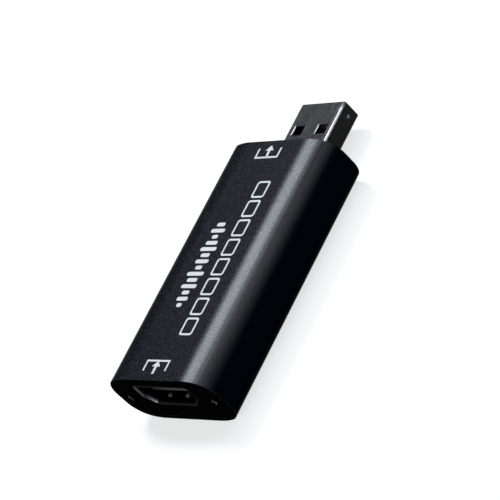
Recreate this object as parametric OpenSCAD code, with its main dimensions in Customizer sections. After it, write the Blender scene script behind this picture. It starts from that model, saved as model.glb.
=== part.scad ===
// Video capture stick: an extruded sleeve closed by two flush end plates.
// A video socket at the input end and a flat data plug at the output end are
// soldered to one board that slides into the sleeve.
// +Y runs from the socket to the plug, +Z is up, all sizes are millimetres.

/* [Sleeve] */
// Width across the round sides
sleeve_w = 29; // [28:0.5:34]
// Height from the underside to the top
sleeve_h = 13; // [12.5:0.25:16]
// Length, both end plates included
sleeve_l = 55; // [52:0.5:70]
// Radius of the four long edges
sleeve_edge_r = 5.5; // [3:0.25:6]
// Wall of the extrusion
sleeve_wall = 1.1; // [0.8:0.1:1.4]
// Chamfer round both mouths
sleeve_rim = 0.1; // [0.1:0.05:0.5]
// Radius of the rib round each screw port
rib_r = 1.6; // [1.3:0.1:1.9]
// Thickness of the ledge under each edge of the board
ledge_t = 0.9; // [0.6:0.1:1.2]
// Reach of the ledge under the board
ledge_reach = 1.4; // [0.8:0.1:2]

/* [End plates] */
// Thickness of both plates
plate_t = 1.6; // [1.2:0.1:2]
// Clearance between a plate and the sleeve's mouth
plate_gap = 0.08; // [0.05:0.01:0.15]
// Clearance between a plate and the connector that passes through it
pass_gap = 0.12; // [0.08:0.02:0.2]

/* [Screws] */
// Distance from the sleeve's side to a screw's axis
screw_inset = 2.9; // [2.7:0.1:3.2]
// Outer diameter of the thread
screw_d = 1.7; // [1.5:0.1:1.8]
// Diameter of the pilot bore in the sleeve
pilot_d = 1.4; // [1.2:0.1:1.4]
// Diameter of the flat head
screw_head_d = 2.6; // [2.3:0.1:2.7]
// Height of the flat head
screw_head_h = 0.7; // [0.5:0.1:0.9]
// Length, head included
screw_l = 6; // [5:0.5:8]
// Pitch of the thread
screw_pitch = 0.6; // [0.5:0.1:0.8]
// Clearance round the shank in a plate
shank_gap = 0.1; // [0.05:0.05:0.15]
// Width of the cross recess
recess_w = 0.45; // [0.3:0.05:0.55]
// Length of the cross recess
recess_l = 1.6; // [1.2:0.1:1.8]
// Depth of the cross recess
recess_d = 0.5; // [0.3:0.05:0.6]

/* [Board] */
// Thickness of the board
board_t = 1.2; // [0.8:0.1:1.6]
// Clearance above and below the board in its slots
slot_gap = 0.1; // [0.05:0.05:0.2]
// Clearance between the board's edge and the sleeve
board_side_gap = 0.2; // [0.15:0.05:0.4]
// Clearance between the board's ends and the plates
board_end_gap = 0.25; // [0.15:0.05:0.4]
// Clearance round a leg or peg in the board
leg_gap = 0.12; // [0.08:0.02:0.2]
// Distance between neighbouring rows of parts
part_gap = 1.1; // [0.8:0.1:1.3]

/* [Socket shell] */
// Width inside
socket_w = 14; // [13.8:0.1:14.4]
// Height inside
socket_h = 4.65; // [4.55:0.05:4.8]
// Width of its floor between the cut corners
socket_floor_w = 10; // [9.4:0.1:10.6]
// Height of its upright sides
socket_side_h = 2.8; // [2.5:0.1:3.1]
// Sheet of the shell
socket_sheet = 0.3; // [0.25:0.05:0.35]
// Radius inside the bends
socket_bend_r = 0.3; // [0.2:0.05:0.4]
// Spread of its lip at the mouth
socket_flare = 0.42; // [0.3:0.02:0.5]
// Length of the spread lip
flare_l = 0.5; // [0.4:0.05:0.7]
// Length of the shell
socket_l = 11.6; // [11:0.1:12.5]
// Distance of its mouth behind the end of the sleeve
socket_back = 0.05; // [0.05:0.05:0.4]
// Height of its middle above the middle of the sleeve
socket_lift = 1.3; // [1:0.1:1.6]
// Height of the shell above the board
socket_stand = 0.2; // [0.15:0.05:0.3]
// Distance of the front legs behind the mouth
leg_back = 3.4; // [3.2:0.1:3.8]
// Width of a solder leg
leg_w = 1.3; // [1:0.1:1.6]
// Length of a leg below the board
leg_out = 0.7; // [0.5:0.1:0.9]

/* [Socket insulator and contacts] */
// Width of the tongue
tongue_w = 11.6; // [11.2:0.1:11.8]
// Thickness of the tongue
tongue_t = 1.3; // [1.2:0.05:1.5]
// Distance of the tongue's tip behind the mouth
tongue_back = 1.7; // [1.3:0.1:2.2]
// Length of the block that fills the back of the shell
block_l = 3.2; // [2.8:0.1:3.6]
// Length of the lip behind the shell
lip_l = 1; // [0.8:0.1:1.3]
// Clearance between an insulator and its shell
block_gap = 0.05; // [0.03:0.01:0.08]
// Diameter of the two pegs in the board
peg_d = 1.1; // [0.9:0.1:1.3]
// Contacts above the tongue
upper_contacts = 10; // [8:1:10]
// Contacts below the tongue
lower_contacts = 9; // [7:1:9]
// Pitch of the contacts in a row
contact_pitch = 1; // [0.95:0.05:1.05]
// Width of a contact
contact_w = 0.28; // [0.2:0.02:0.3]
// Thickness of a contact
contact_t = 0.15; // [0.1:0.05:0.2]
// Distance of the contacts behind the tongue's tip
contact_back = 0.5; // [0.3:0.1:0.8]
// Length of the contact feet behind the insulator
contact_foot = 1.3; // [1.1:0.1:1.6]

/* [Socket spring fingers] */
// Width of a finger
finger_w = 1.8; // [1.5:0.1:2]
// Length from the root to the tip
finger_l = 5.4; // [5:0.1:5.8]
// Length from the root to the crest
finger_crest = 4.4; // [4.2:0.1:4.7]
// Reach of the crest into the socket
finger_in = 0.4; // [0.3:0.05:0.45]
// Drop of the tip beyond the crest
finger_curl = 0.42; // [0.2:0.02:0.44]
// Distance of the tips behind the mouth
finger_back = 1.3; // [1:0.1:1.6]
// Distance of a finger from the middle
finger_x = 2.45; // [2.2:0.05:2.7]
// Clearance round a finger in its window
finger_gap = 0.25; // [0.2:0.05:0.35]
// Clearance behind the rounded root
root_gap = 0.05; // [0.03:0.01:0.08]

/* [Plug shell] */
// Width outside
plug_w = 12.1; // [11.9:0.05:12.2]
// Height outside
plug_h = 4.55; // [4.4:0.05:4.6]
// Sheet of the shell
plug_sheet = 0.3; // [0.25:0.05:0.35]
// Radius of its long edges
plug_edge_r = 0.35; // [0.3:0.05:0.8]
// Length outside the sleeve
plug_out = 13.6; // [12:0.1:15]
// Length inside the sleeve
plug_in = 5; // [4.6:0.1:5.4]
// Depth of its middle below the top of the board
plug_sink = 0.1; // [0:0.05:0.3]
// Width of a latch window
latch_w = 2.5; // [2.2:0.1:2.7]
// Length of a latch window
latch_l = 2.1; // [1.8:0.1:2.3]
// Distance of a latch window from the middle
latch_x = 3.2; // [3:0.05:3.4]
// Distance of the latch windows from the mouth
latch_back = 5.5; // [5:0.1:5.7]
// Gap of the seam under the shell
seam_w = 0.08; // [0.05:0.01:0.12]
// Diameter of the dimple in each side
dimple_d = 0.7; // [0.5:0.1:0.9]
// Distance of the dimples from the mouth
dimple_back = 2; // [1.6:0.1:2.3]
// Reach of the side ears on the board
ear_reach = 1.8; // [1.5:0.1:2.1]

/* [Plug insulator and contacts] */
// Thickness of the tongue
blade_t = 1.95; // [1.85:0.05:2]
// Distance of the tongue's tip behind the mouth
blade_back = 0.4; // [0.2:0.1:0.8]
// Length of the block at the back
heel_l = 3.4; // [3:0.1:3.8]
// Thickness of a contact
pin_t = 0.2; // [0.15:0.05:0.25]
// Width of a contact
pin_w = 1.1; // [0.9:0.1:1.3]
// Distance of the inner pair from the middle
data_x = 1; // [0.9:0.05:1.1]
// Distance of the outer pair from the middle
power_x = 3.5; // [3.4:0.05:3.6]
// Distance of the outer contacts behind the mouth
power_back = 1.1; // [0.9:0.1:1.4]
// Distance of the inner contacts behind the mouth
data_back = 2.1; // [1.8:0.1:2.5]
// Length of the contact feet on the board
pin_foot = 1.5; // [1.2:0.1:1.8]

/* [Parts on the board] */
// Width of the square capture chip
chip_w = 10; // [9:0.5:10]
// Height of its body
chip_h = 1.2; // [1:0.1:1.4]
// Leads on each of its sides
chip_leads = 16; // [12:1:16]
// Pitch of its leads
chip_pitch = 0.5; // [0.45:0.05:0.55]
// Width of its leads
chip_lead_w = 0.22; // [0.18:0.02:0.26]
// Width of the settings memory
memory_w = 3.9; // [3.6:0.1:4.2]
// Length of the settings memory
memory_l = 4.9; // [4.7:0.1:5.1]
// Height of its body
memory_h = 1.3; // [1.1:0.1:1.5]
// Pitch of its leads
memory_pitch = 1.27; // [1.2:0.01:1.3]
// Width of a regulator
regulator_w = 1.6; // [1.4:0.1:1.8]
// Length of a regulator
regulator_l = 2.9; // [2.7:0.1:3.1]
// Height of a regulator
regulator_h = 1; // [0.8:0.1:1.2]
// Pitch of its leads
regulator_pitch = 0.95; // [0.9:0.05:1]
// Reach of the leads beyond a body
lead_reach = 1; // [0.8:0.1:1.2]
// Width of the memory's and regulators' leads
lead_w = 0.4; // [0.3:0.05:0.45]
// Thickness of the leads
lead_t = 0.15; // [0.1:0.05:0.2]
// Height of the bodies above the board
body_stand = 0.1; // [0.05:0.05:0.15]
// Diameter of the first-lead mark on a chip
mark_d = 0.8; // [0.5:0.1:1]
// Depth of that mark
mark_depth = 0.1; // [0.05:0.05:0.15]
// Length of the crystal
crystal_l = 5; // [4.4:0.1:5.2]
// Width of the crystal
crystal_w = 3.2; // [2.8:0.1:3.4]
// Height of the crystal's base
crystal_base_h = 0.4; // [0.3:0.05:0.6]
// Height of the crystal's lid
crystal_lid_h = 0.6; // [0.4:0.05:0.8]
// Distance of the lid inside the base's edge
lid_inset = 0.2; // [0.15:0.05:0.3]
// Length of a surge array
array_l = 2; // [1.8:0.1:2.2]
// Width of a surge array
array_w = 1; // [0.9:0.1:1.1]
// Height of a surge array
array_h = 0.5; // [0.4:0.05:0.6]
// Length of a capacitor or resistor
chip_part_l = 1.6; // [1.4:0.1:1.8]
// Width of a capacitor or resistor
chip_part_w = 0.8; // [0.7:0.1:0.9]
// Height of a capacitor
capacitor_h = 0.8; // [0.6:0.1:0.9]
// Height of a resistor
resistor_h = 0.45; // [0.35:0.05:0.55]
// Length of a ferrite bead
bead_l = 2; // [1.8:0.1:2.2]
// Width of a ferrite bead
bead_w = 1.25; // [1.1:0.05:1.4]
// Height of a ferrite bead
bead_h = 0.9; // [0.7:0.05:1.1]
// Length of a tinned end
end_l = 0.3; // [0.2:0.05:0.4]

/* [Hidden] */
$fn = 48;
eps = 0.02;

// Stations along the length
in_y = -(sleeve_l + plug_out) / 2;
out_y = in_y + sleeve_l;
tip_y = out_y + plug_out;

// The cavity of the sleeve
cavity_w = sleeve_w - 2 * sleeve_wall;
cavity_h = sleeve_h - 2 * sleeve_wall;
cavity_r = sleeve_edge_r - sleeve_wall;
mid_z = sleeve_h / 2;

// Heights of the socket, the board and the plug
socket_z = mid_z + socket_lift;
socket_low = socket_z - socket_h / 2;
socket_top = socket_z + socket_h / 2;
board_top = socket_low - socket_sheet - socket_stand;
board_low = board_top - board_t;
plug_z = board_top - plug_sink;

// The board
function cavity_half(z) = cavity_w / 2 - cavity_r
    + sqrt(pow(cavity_r, 2) - pow(max(0, abs(z - mid_z) - cavity_h / 2 + cavity_r), 2));
board_w = 2 * (cavity_half(board_low) - board_side_gap);
board_in_y = in_y + plate_t + board_end_gap;
board_out_y = out_y - plate_t - board_end_gap;

// The screws
screw_x = sleeve_w / 2 - screw_inset;
screw_core_d = pilot_d - 0.1;
screw_turns = floor((screw_l - plate_t - screw_pitch) / screw_pitch);

// The socket
mouth_y = in_y + socket_back;
shell_end_y = mouth_y + socket_l;
lip_y = shell_end_y + lip_l;
tongue_y = mouth_y + tongue_back;
tail_y = lip_y + contact_foot;
leg_ys = [mouth_y + leg_back, shell_end_y - block_l + leg_w / 2];
leg_x = socket_w / 2 + socket_sheet / 2;
peg_x = socket_w / 2 - peg_d / 2;
finger_root_y = mouth_y + finger_back + finger_l;

// The plug
plug_bend_r = max(eps, plug_edge_r - plug_sheet);
plug_end_y = out_y - plug_in;
notch_y = plug_end_y - 2.5 * pin_t;
blade_top = plug_z - plug_h / 2 + plug_sheet + blade_t;
ear_y = plug_end_y + leg_w;
ear_x = plug_w / 2 + ear_reach - plug_sheet / 2;

// Rows of parts along the board
array_y = tail_y + part_gap + array_w / 2;
chip_y = array_y + array_w / 2 + part_gap + lead_reach + chip_w / 2;
memory_y = chip_y + chip_w / 2 + lead_reach + part_gap + memory_l / 2;
regulator_y = memory_y + memory_l / 2 + part_gap + regulator_l / 2;
bead_y = regulator_y + regulator_l / 2 + part_gap + bead_w / 2;
memory_x = -part_gap - lead_reach - memory_w / 2 - chip_part_l / 2;
crystal_x = part_gap + chip_part_l / 2 + crystal_w / 2;
column_x = chip_w / 2 + lead_reach + part_gap + chip_part_w / 2;
regulator_x = part_gap + lead_reach + regulator_w / 2 + chip_part_l / 2;
column_ys = [for (i = [-2:2]) chip_y + i * (chip_part_l + part_gap / 2)];
bead_xs = [-1, 1] * (bead_l + part_gap) / 2;

// Where each capacitor and resistor stands, and which way its length runs
capacitor_places = concat([for (y = column_ys) [-column_x, y, 90]],
    [for (y = column_ys) [column_x, y, 90]],
    [[0, regulator_y - chip_part_w, 0], [0, regulator_y + chip_part_w, 0]]);
resistor_places = [for (i = [-1:1]) [0, memory_y + i * (chip_part_w + part_gap / 2), 0]];

// Extrudes an outline drawn across the stick from y0 to y1
module along_y(y0, y1) translate([0, y1, 0]) rotate([90, 0, 0]) linear_extrude(height = y1 - y0) children();

// Extrudes an outline drawn along the stick over a width w about x
module across_x(x, w) translate([x - w / 2, 0, 0]) rotate([90, 0, 90]) linear_extrude(height = w) children();

// Puts children on both sides of the middle
module both_sides() {
    children();
    mirror([1, 0, 0]) children();
}

module rounded_rect(w, h, r) {
    square([w - 2 * r, h], center = true);
    square([w, h - 2 * r], center = true);
    for (x = [-1, 1], y = [-1, 1]) translate([x * (w / 2 - r), y * (h / 2 - r)]) circle(r = r);
}

module cavity_outline(inset) translate([0, mid_z])
    rounded_rect(cavity_w - 2 * inset, cavity_h - 2 * inset, cavity_r - inset);

// A bar of rounded section about the middle of the sleeve, chamfered at both ends
module chamfered_bar(w, h, r, y0, y1, c) {
    l = y1 - y0;
    side = [[0, 0], [r - c, 0], [r, c], [r, l - c], [r - c, l], [0, l]];
    flank_w = w / 2 - r;
    flank_h = h / 2 - r;
    translate([0, y0, mid_z]) {
        translate([-flank_w, 0, -flank_h]) cube([2 * flank_w, l, 2 * flank_h]);
        for (a = [0, 180]) rotate([0, a, 0]) {
            translate([flank_w, 0, -flank_h]) linear_extrude(height = 2 * flank_h) polygon(side);
            translate([-flank_w, 0, flank_h]) rotate([0, -90, 180])
                mirror([0, 1, 0]) linear_extrude(height = 2 * flank_w) polygon(side);
            translate([flank_w, 0, flank_h]) rotate([-90, -90, 0]) rotate_extrude(angle = 90) polygon(side);
            translate([flank_w, 0, -flank_h]) rotate([-90, 0, 0]) rotate_extrude(angle = 90) polygon(side);
        }
    }
}

// Screw port rib with the upper guide of the board, and the ledge below the board
module side_ribs() both_sides() {
    wall_x = sleeve_w / 2 - sleeve_wall / 2;
    translate([screw_x, mid_z]) circle(r = rib_r);
    translate([screw_x, mid_z - rib_r]) square([wall_x - screw_x, 2 * rib_r]);
    translate([screw_x - rib_r, board_top + slot_gap])
        square([wall_x - screw_x + rib_r, mid_z - board_top - slot_gap]);
    translate([board_w / 2 - ledge_reach, board_low - slot_gap - ledge_t]) square([wall_x, ledge_t]);
}

module sleeve() color("#1d1e22") difference() {
    union() {
        difference() {
            chamfered_bar(sleeve_w, sleeve_h, sleeve_edge_r, in_y, out_y, sleeve_rim);
            along_y(in_y - 1, out_y + 1) cavity_outline(0);
        }
        along_y(in_y + plate_t, out_y - plate_t) difference() {
            intersection() {
                side_ribs();
                cavity_outline(-sleeve_wall / 2);
            }
            translate([-board_w / 2 - board_side_gap, board_low - slot_gap])
                square([board_w + 2 * board_side_gap, board_t + 2 * slot_gap]);
        }
    }
    both_sides() translate([screw_x, in_y, mid_z]) rotate([-90, 0, 0]) cylinder(d = pilot_d, h = sleeve_l);
}

// A flat-headed screw with its face at 0 and its shank along +Z
module plate_screw() difference() {
    union() {
        cylinder(d1 = screw_head_d, d2 = screw_d, h = screw_head_h);
        cylinder(d = screw_core_d, h = screw_l);
        translate([0, 0, plate_t]) rotate_extrude() polygon(concat([[0, 0]],
            [for (i = [0:screw_turns - 1], half = [0, 1])
                [half == 0 ? screw_core_d / 2 : screw_d / 2, (i + half / 2) * screw_pitch]],
            [[screw_core_d / 2, screw_turns * screw_pitch], [0, screw_turns * screw_pitch]]));
    }
    for (a = [0, 90]) rotate([0, 0, a]) translate([-recess_l / 2, -recess_w / 2, -eps])
        cube([recess_l, recess_w, recess_d + eps]);
}

module screw_hole() {
    translate([0, 0, -eps]) cylinder(d = screw_d + 2 * shank_gap, h = plate_t + 2 * eps);
    cylinder(d1 = screw_head_d, d2 = screw_d, h = screw_head_h);
}

module at_input_screws() both_sides() translate([screw_x, in_y, mid_z]) rotate([-90, 0, 0]) children();

module at_output_screws() both_sides() translate([screw_x, out_y, mid_z]) rotate([90, 0, 0]) children();

module input_screws() color("#3a3a3d") at_input_screws() plate_screw();

module output_screws() color("#3a3a3d") at_output_screws() plate_screw();

// Opening of the socket, wide side up with cut lower corners
module socket_outline(grow) translate([0, socket_low])
    offset(r = grow + socket_bend_r) offset(delta = -socket_bend_r) polygon([
        [-socket_w / 2, socket_h], [-socket_w / 2, socket_h - socket_side_h],
        [-socket_floor_w / 2, 0], [socket_floor_w / 2, 0],
        [socket_w / 2, socket_h - socket_side_h], [socket_w / 2, socket_h]]);

module input_plate() color("#111113") difference() {
    along_y(in_y, in_y + plate_t) difference() {
        cavity_outline(plate_gap);
        socket_outline(socket_flare + socket_sheet + pass_gap);
    }
    at_input_screws() screw_hole();
}

module output_plate() color("#111113") difference() {
    along_y(out_y - plate_t, out_y) difference() {
        cavity_outline(plate_gap);
        translate([0, plug_z])
            rounded_rect(plug_w + 2 * pass_gap, plug_h + 2 * pass_gap, plug_edge_r + pass_gap);
    }
    at_output_screws() screw_hole();
}

module socket_leg(y, gap)
    translate([leg_x - socket_sheet / 2 - gap, y - leg_w / 2 - gap, board_low - leg_out])
        cube([socket_sheet + 2 * gap, leg_w + 2 * gap, socket_z - board_low + leg_out]);

module ear_leg(gap) translate([ear_x - plug_sheet / 2 - gap, ear_y - leg_w / 2 - gap, board_low - leg_out])
    cube([plug_sheet + 2 * gap, leg_w + 2 * gap, board_t + leg_out + plug_sheet]);

module main_board() color("#1f5a38") difference() {
    translate([-board_w / 2, board_in_y, board_low]) cube([board_w, board_out_y - board_in_y, board_t]);
    translate([-plug_w / 2 - pass_gap, notch_y, board_low - 1])
        cube([plug_w + 2 * pass_gap, plug_in, board_t + 2]);
    both_sides() {
        for (y = leg_ys) socket_leg(y, leg_gap);
        ear_leg(leg_gap);
        translate([peg_x, lip_y - lip_l / 2, board_low - 1])
            cylinder(d = peg_d + 2 * leg_gap, h = board_t + 2);
    }
}

module finger_window(x, z)
    translate([x - finger_w / 2 - finger_gap, finger_root_y - finger_l - finger_gap, z - socket_sheet])
    cube([finger_w + 2 * finger_gap, finger_l + finger_gap + socket_sheet / 2 + root_gap, 2 * socket_sheet]);

// The socket's opening grown outwards, with its lip spread at the mouth and run on ahead of it
module socket_bar(grow, ahead, behind) {
    spread = socket_flare * (1 + ahead / flare_l);
    along_y(mouth_y + flare_l / 2, shell_end_y + behind) socket_outline(grow);
    hull() {
        along_y(mouth_y - ahead, mouth_y - ahead + eps) socket_outline(grow + spread);
        along_y(mouth_y + flare_l, mouth_y + flare_l + eps) socket_outline(grow - eps);
    }
}

module socket_shell() color("#a9abae") {
    difference() {
        socket_bar(socket_sheet, 0, 0);
        socket_bar(0, flare_l, 1);
        for (x = [-finger_x, finger_x]) {
            finger_window(x, socket_low - socket_sheet / 2);
            finger_window(x, socket_top + socket_sheet / 2);
        }
    }
    both_sides() for (y = leg_ys) socket_leg(y, 0);
}

// A row of bent contacts whose top lies at z and whose drop stands behind the lip
module contact_row(count, z, drop_y) {
    start_y = tongue_y + contact_back;
    for (i = [0:count - 1]) across_x((i - (count - 1) / 2) * contact_pitch, contact_w) polygon([
        [start_y, z], [drop_y + contact_t, z], [drop_y + contact_t, board_top + contact_t],
        [tail_y, board_top + contact_t], [tail_y, board_top], [drop_y, board_top],
        [drop_y, z - contact_t], [start_y, z - contact_t]]);
}

module socket_contacts_upper() color("#c9a24a")
    contact_row(upper_contacts, socket_z + tongue_t / 2, lip_y + 3 * contact_t);

module socket_contacts_lower() color("#c9a24a")
    contact_row(lower_contacts, socket_z - tongue_t / 2 + contact_t, lip_y + contact_t);

module socket_insulator() color("#17171a") difference() {
    union() {
        translate([-tongue_w / 2, tongue_y, socket_z - tongue_t / 2])
            cube([tongue_w, shell_end_y - tongue_y, tongue_t]);
        along_y(shell_end_y - block_l, shell_end_y + block_gap + eps) socket_outline(-block_gap);
        translate([-socket_w / 2, shell_end_y + block_gap, board_top])
            cube([socket_w, lip_l - block_gap, socket_top - board_top]);
        both_sides() translate([peg_x, lip_y - lip_l / 2, board_low]) cylinder(d = peg_d, h = board_t + eps);
    }
    socket_contacts_upper();
    socket_contacts_lower();
}

// Rise of a finger's middle line at a distance s from its root
function finger_rise(s) = s < finger_crest ? finger_in * (1 - cos(180 * s / finger_crest)) / 2
    : finger_in - finger_curl * (1 - cos(90 * (s - finger_crest) / (finger_l - finger_crest)));

// A finger that rises by way of up from the middle of the wall at z
module finger(x, z, up) color("#b4b6b8") across_x(x, finger_w) translate([finger_root_y, z]) {
    circle(d = socket_sheet);
    polygon(concat(
        [for (i = [0:18]) [-i * finger_l / 18, up * finger_rise(i * finger_l / 18) + socket_sheet / 2]],
        [for (i = [18:-1:0]) [-i * finger_l / 18, up * finger_rise(i * finger_l / 18) - socket_sheet / 2]]));
}

module finger_upper_left() finger(-finger_x, socket_top + socket_sheet / 2, -1);

module finger_upper_right() finger(finger_x, socket_top + socket_sheet / 2, -1);

module finger_lower_left() finger(-finger_x, socket_low - socket_sheet / 2, 1);

module finger_lower_right() finger(finger_x, socket_low - socket_sheet / 2, 1);

module plug_inner(gap) translate([0, plug_z])
    rounded_rect(plug_w - 2 * (plug_sheet + gap), plug_h - 2 * (plug_sheet + gap), plug_bend_r);

module plug_shell() color("#8f9195") {
    difference() {
        along_y(plug_end_y, tip_y) difference() {
            translate([0, plug_z]) rounded_rect(plug_w, plug_h, plug_edge_r);
            plug_inner(0);
        }
        for (x = [-latch_x, latch_x])
            translate([x - latch_w / 2, tip_y - latch_back - latch_l, plug_z - plug_h])
                cube([latch_w, latch_l, 2 * plug_h]);
        translate([-seam_w / 2, plug_end_y - 1, plug_z - plug_h / 2 - 1])
            cube([seam_w, tip_y - plug_end_y + 2, 1.5 + plug_sheet]);
        both_sides() translate([plug_w / 2 + eps, tip_y - dimple_back, plug_z])
            rotate([0, -90, 0]) cylinder(d1 = dimple_d, d2 = 0, h = plug_sheet * 0.7);
    }
    both_sides() {
        translate([plug_w / 2 - plug_sheet, ear_y - leg_w / 2, board_top])
            cube([ear_reach + plug_sheet, leg_w, plug_sheet]);
        ear_leg(0);
    }
}

// A contact of the plug, stepped up behind the insulator on to the board
module pin(x, back) {
    step_y = plug_end_y - pin_t / 2;
    foot_y = notch_y - pin_foot;
    across_x(x, pin_w) polygon([[tip_y - back, blade_top], [step_y, blade_top], [step_y, board_top + pin_t],
        [foot_y, board_top + pin_t], [foot_y, board_top], [step_y - pin_t, board_top],
        [step_y - pin_t, blade_top - pin_t], [tip_y - back, blade_top - pin_t]]);
}

module plug_contacts() color("#c9a24a") both_sides() {
    pin(data_x, data_back);
    pin(power_x, power_back);
}

module plug_insulator() color("#1b1b1e") difference() {
    intersection() {
        along_y(plug_end_y, tip_y - blade_back) plug_inner(block_gap);
        union() {
            translate([-plug_w / 2, plug_end_y, plug_z - plug_h / 2]) {
                cube([plug_w, tip_y - plug_end_y, plug_sheet + blade_t]);
                cube([plug_w, heel_l, plug_h]);
            }
        }
    }
    plug_contacts();
}

// A body standing a little above the board
module part_body(x, y, w, l, h) translate([x - w / 2, y - l / 2, board_top + body_stand]) cube([w, l, h]);

// A row of bent leads that leaves the +X side of a body at x, with its middle at y
module lead_row(x, y, count, pitch, h, w) {
    bend = lead_reach / 2;
    for (i = [0:count - 1]) translate([x, y + (i - (count - 1) / 2) * pitch + w / 2, board_top])
        rotate([90, 0, 0]) linear_extrude(height = w) polygon([
            [0, h], [bend, h], [bend, lead_t], [lead_reach, lead_t], [lead_reach, 0],
            [bend - lead_t, 0], [bend - lead_t, h - lead_t], [0, h - lead_t]]);
}

// The shallow mark beside the first lead, in from the corner at x and y of a body of height h
module pin_one(x, y, h) translate([x + mark_d, y + mark_d, board_top + body_stand + h - mark_depth])
    cylinder(d = mark_d, h = 1);

module capture_chip() color("#202124") difference() {
    part_body(0, chip_y, chip_w, chip_w, chip_h);
    pin_one(-chip_w / 2, chip_y - chip_w / 2, chip_h);
}

module capture_chip_leads() color("#b9bbbd") translate([0, chip_y, 0])
    for (a = [0, 90, 180, 270]) rotate([0, 0, a])
        lead_row(chip_w / 2, 0, chip_leads, chip_pitch, body_stand + chip_h / 2, chip_lead_w);

module memory_chip() color("#202124") difference() {
    part_body(memory_x, memory_y, memory_w, memory_l, memory_h);
    pin_one(memory_x - memory_w / 2, memory_y - memory_l / 2, memory_h);
}

module memory_chip_leads() color("#b9bbbd") translate([memory_x, memory_y, 0]) both_sides()
    lead_row(memory_w / 2, 0, 4, memory_pitch, body_stand + memory_h / 2, lead_w);

module regulators() color("#202124") for (x = [-regulator_x, regulator_x])
    part_body(x, regulator_y, regulator_w, regulator_l, regulator_h);

module regulator_leads() color("#b9bbbd")
    for (x = [-regulator_x, regulator_x]) translate([x, regulator_y, 0]) {
        lead_row(regulator_w / 2, 0, 3, regulator_pitch, body_stand + regulator_h / 2, lead_w);
        mirror([1, 0, 0])
            lead_row(regulator_w / 2, 0, 2, 2 * regulator_pitch, body_stand + regulator_h / 2, lead_w);
    }

module crystal_base() color("#c8c2b0")
    translate([crystal_x - crystal_w / 2, memory_y - crystal_l / 2, board_top])
        cube([crystal_w, crystal_l, crystal_base_h]);

module crystal_lid() color("#c3c5c8") translate([crystal_x, memory_y, board_top + crystal_base_h])
    linear_extrude(height = crystal_lid_h)
        rounded_rect(crystal_w - 2 * lid_inset, crystal_l - 2 * lid_inset, 2 * lid_inset);

module surge_arrays() color("#242427") for (i = [0:3])
    translate([(i - 1.5) * (array_l + part_gap / 2) - array_l / 2, array_y - array_w / 2, board_top])
        cube([array_l, array_w, array_h]);

// The middle of a chip part, between its tinned ends
module chip_middle(place, l, w, h) translate([place[0], place[1], board_top]) rotate([0, 0, place[2]])
    translate([end_l - l / 2, -w / 2, 0]) cube([l - 2 * end_l, w, h]);

module chip_end_pair(place, l, w, h) translate([place[0], place[1], board_top]) rotate([0, 0, place[2]])
    for (x = [-l / 2, l / 2 - end_l]) translate([x, -w / 2, 0]) cube([end_l, w, h]);

module capacitors() color("#b89a6c") for (p = capacitor_places)
    chip_middle(p, chip_part_l, chip_part_w, capacitor_h);

module resistors() color("#1e1e20") for (p = resistor_places)
    chip_middle(p, chip_part_l, chip_part_w, resistor_h);

module ferrite_beads() color("#3d3d42") for (x = bead_xs)
    chip_middle([x, bead_y, 0], bead_l, bead_w, bead_h);

module chip_ends() color("#c6c8ca") {
    for (p = capacitor_places) chip_end_pair(p, chip_part_l, chip_part_w, capacitor_h);
    for (p = resistor_places) chip_end_pair(p, chip_part_l, chip_part_w, resistor_h);
    for (x = bead_xs) chip_end_pair([x, bead_y, 0], bead_l, bead_w, bead_h);
}

// A cone of solder under the board round a leg at x and y
module solder_cone(x, y) translate([x, y, board_low - leg_out * 0.8])
    cylinder(d1 = leg_w * 0.9, d2 = leg_w * 1.5, h = leg_out * 0.8);

module leg_solder() color("#aeb1b4") difference() {
    both_sides() {
        for (y = leg_ys) solder_cone(leg_x, y);
        solder_cone(ear_x, ear_y);
    }
    both_sides() {
        for (y = leg_ys) socket_leg(y, 0);
        ear_leg(0);
    }
}

sleeve();
input_plate();
output_plate();
input_screws();
output_screws();
main_board();
socket_shell();
socket_insulator();
socket_contacts_upper();
socket_contacts_lower();
finger_upper_left();
finger_upper_right();
finger_lower_left();
finger_lower_right();
plug_shell();
plug_insulator();
plug_contacts();
capture_chip();
capture_chip_leads();
memory_chip();
memory_chip_leads();
regulators();
regulator_leads();
crystal_base();
crystal_lid();
surge_arrays();
capacitors();
resistors();
ferrite_beads();
chip_ends();
leg_solder();
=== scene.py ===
"""Looks of a video capture stick: a black blasted sleeve, a socket at one end, a flat plug at the other."""
import math

import bmesh
import bpy
from mathutils import Matrix, Vector


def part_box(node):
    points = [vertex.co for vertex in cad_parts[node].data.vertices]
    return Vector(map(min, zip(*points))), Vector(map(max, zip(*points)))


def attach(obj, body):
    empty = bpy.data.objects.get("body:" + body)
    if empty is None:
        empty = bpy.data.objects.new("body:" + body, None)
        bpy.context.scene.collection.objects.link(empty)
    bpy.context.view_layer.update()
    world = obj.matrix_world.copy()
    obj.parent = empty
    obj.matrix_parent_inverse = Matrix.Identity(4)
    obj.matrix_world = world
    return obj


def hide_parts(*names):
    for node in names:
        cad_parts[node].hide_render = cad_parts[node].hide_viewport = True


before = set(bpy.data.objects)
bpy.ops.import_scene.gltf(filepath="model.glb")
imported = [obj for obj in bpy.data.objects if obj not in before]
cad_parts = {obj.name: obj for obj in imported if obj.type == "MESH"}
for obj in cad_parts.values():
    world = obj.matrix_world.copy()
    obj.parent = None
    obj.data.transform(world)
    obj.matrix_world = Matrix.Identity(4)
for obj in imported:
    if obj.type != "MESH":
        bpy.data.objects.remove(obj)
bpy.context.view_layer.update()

# The camera is a long lens that looks down on the stick from its right, ahead of the socket.
# Its place and its axes were worked out from the stick's outline, and it has no shift.
MM = 0.001
CAMERA_AXES = ((0.67996, 0.42137, -0.60008), (0.01358, 0.81101, 0.58487), (0.73312, -0.40584, 0.54574))
CAMERA_PLACE = (350.98 * MM, -194.72 * MM, 267.80 * MM)
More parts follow.
